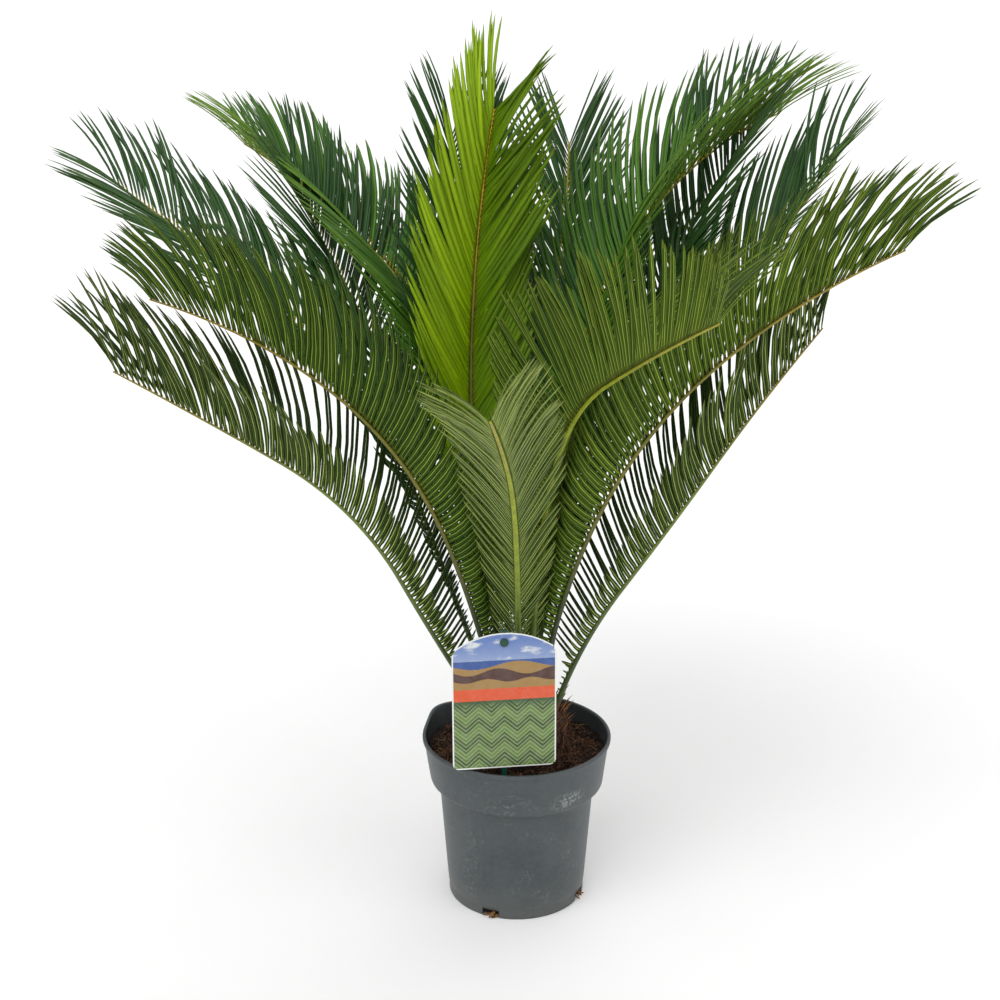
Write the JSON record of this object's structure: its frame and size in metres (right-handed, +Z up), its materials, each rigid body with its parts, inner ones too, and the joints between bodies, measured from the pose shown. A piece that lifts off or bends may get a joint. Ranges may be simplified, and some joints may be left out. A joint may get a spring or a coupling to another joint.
{
  "type": "potted sago palm",
  "caption": "Young sago palm in a nursery pot: a short scaly trunk with a full crown of arching comb-like fronds, and an arched plant label on a stake in the soil",
  "frame": {"origin": "middle of the pot's flat underside", "axes": "+Z up, -Y towards the front where the label stands, +X to the right seen from the front"},
  "size_m": [0.8001, 0.9405, 0.8683],
  "materials": {
    "pot_plastic": "matte moulded plastic, scuffed and a little dusty",
    "potting_soil": "coarse dark mix of bark and fibres",
    "trunk_scales": "rough, covered with old fibrous scales",
    "card_print": "glossy printed card",
    "stake_plastic": "smooth moulded plastic",
    "lime": "fresh leaf, satin",
    "sage": "pale underside of a leaf, dull",
    "olive": "underside of a leaf, dull",
    "green": "leaf, satin",
    "dark": "upper side of an old leaf, glossy"
  },
  "bodies": {
    "root": {"pot": "pot_plastic", "soil": "potting_soil", "trunk": "trunk_scales", "tag_card": "card_print", "tag_stake": "stake_plastic", "frond_heart": "lime", "frond_front": "sage", "frond_front_right": "olive", "frond_left_front": "green", "frond_right_front": "olive", "frond_left_low": "sage", "frond_right_low": "sage", "frond_left_high": "dark", "frond_right": "dark", "frond_right_back": "dark", "frond_back_right": "green", "frond_back_left": "green", "frond_left_back": "dark", "frond_inner_right": "dark", "frond_inner_left": "dark", "frond_back_low_right": "green", "frond_back_low_left": "dark"}
  },
  "joints": []
}
